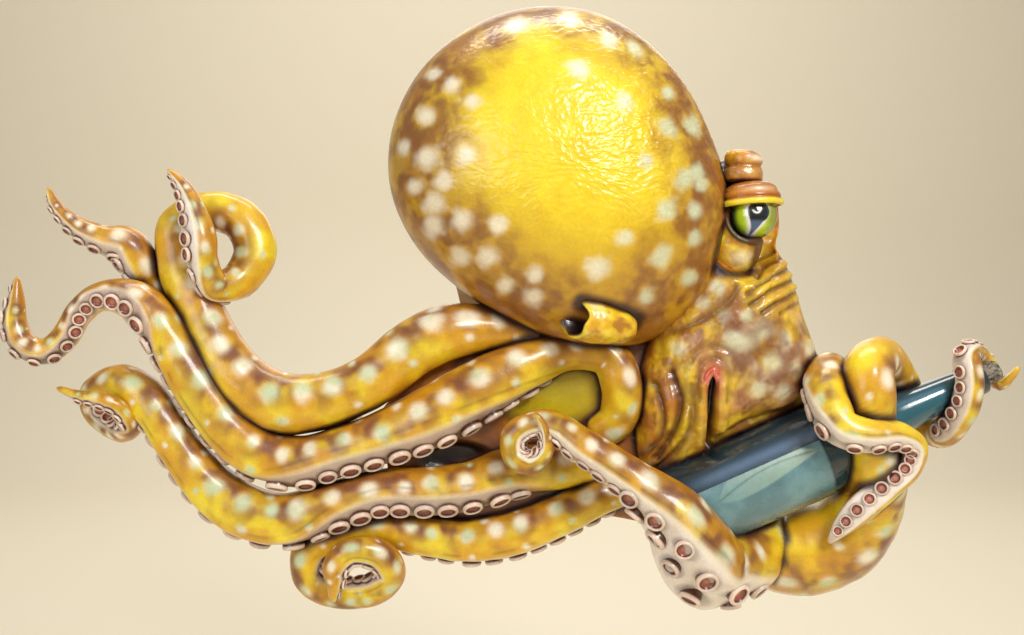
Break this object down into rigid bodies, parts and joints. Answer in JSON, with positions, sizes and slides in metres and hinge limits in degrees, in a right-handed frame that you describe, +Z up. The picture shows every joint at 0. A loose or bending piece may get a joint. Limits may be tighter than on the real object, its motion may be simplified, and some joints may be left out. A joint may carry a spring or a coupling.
{
  "type": "octopus wall sculpture",
  "caption": "Wall-hung relief sculpture of a golden octopus hugging a teal bottle, on a plywood backer with swinging hanger rings and rubber wall pads.",
  "frame": {"origin": "on the wall plane, at the centre of the middle rubber pad's rear face", "axes": "+X to the viewer's right along the long way of the sculpture, +Z up, +Y into the wall"},
  "size_m": [0.8638, 0.138, 0.5093],
  "materials": {
    "octopus_paint": "golden yellow painted casting, mottled brown with pale spots, gloss varnish",
    "sucker_paint": "cream sucker rims with red-brown cups, gloss varnish",
    "mouth_paint": "red-orange painted rim, gloss varnish",
    "eye_gloss": "yellow-green iris with a dark blue pupil, high gloss",
    "bottle_paint": "dark teal gloss paint",
    "label_paint": "mid teal label with a leaf motif, satin varnish",
    "cork": "grey-brown cork",
    "plywood": "bare birch plywood",
    "core_pulp": "carved light core",
    "pad_rubber": "black rubber",
    "zinc_steel": "bright zinc plate",
    "screw_brass": "yellow zinc pan head screw",
    "rod_steel": "plain steel rod"
  },
  "bodies": {
    "sculpture": {"arm_1": "octopus_paint", "arm_1_rod": "rod_steel", "arm_1_suckers": "sucker_paint", "arm_2": "octopus_paint", "arm_2_suckers": "sucker_paint", "arm_3": "octopus_paint", "arm_3_rod": "rod_steel", "arm_3_suckers": "sucker_paint", "arm_4": "octopus_paint", "arm_4_rod": "rod_steel", "arm_4_suckers": "sucker_paint", "arm_5": "octopus_paint", "arm_5_rod": "rod_steel", "arm_5_suckers": "sucker_paint", "arm_6": "octopus_paint", "arm_6_rod": "rod_steel", "arm_6_suckers": "sucker_paint", "arm_7": "octopus_paint", "arm_7_rod": "rod_steel", "arm_7_suckers": "sucker_paint", "arm_8": "octopus_paint", "arm_8_suckers": "sucker_paint", "arm_web_casting": "octopus_paint", "backer_board": "plywood", "body_screw_head": "screw_brass", "body_screw_upper_left": "screw_brass", "body_screw_upper_right": "screw_brass", "body_screw_web": "screw_brass", "bottle": "bottle_paint", "bottle_label": "label_paint", "brow_knob": "octopus_paint", "cork": "cork", "eye_bag": "octopus_paint", "eyeball": "eye_gloss", "hanger_screw_left_lower": "zinc_steel", "hanger_screw_left_upper": "zinc_steel", "hanger_screw_right_lower": "zinc_steel", "hanger_screw_right_upper": "zinc_steel", "hanger_strap_left": "zinc_steel", "hanger_strap_right": "zinc_steel", "head_casting": "octopus_paint", "mantle_core": "core_pulp", "mantle_skin": "octopus_paint", "mouth_liner": "mouth_paint", "siphon_funnel": "octopus_paint", "upper_eyelid": "octopus_paint", "wall_pad_bottom": "pad_rubber", "wall_pad_left": "pad_rubber", "wall_pad_middle": "pad_rubber", "wall_pad_right": "pad_rubber", "wall_pad_top": "pad_rubber"},
    "left_ring": {"hanger_ring_left": "zinc_steel"},
    "right_ring": {"hanger_ring_right": "zinc_steel"}
  },
  "joints": [
    {"name": "left_ring_swing", "type": "hinge", "parent": "sculpture", "child": "left_ring", "pos_m": [-0.102, -0.003, 0.13], "axis": [1, 0, 0], "range_deg": [0, 175]},
    {"name": "right_ring_swing", "type": "hinge", "parent": "sculpture", "child": "right_ring", "pos_m": [0.0504, -0.003, 0.13], "axis": [1, 0, 0], "range_deg": [0, 175]}
  ]
}
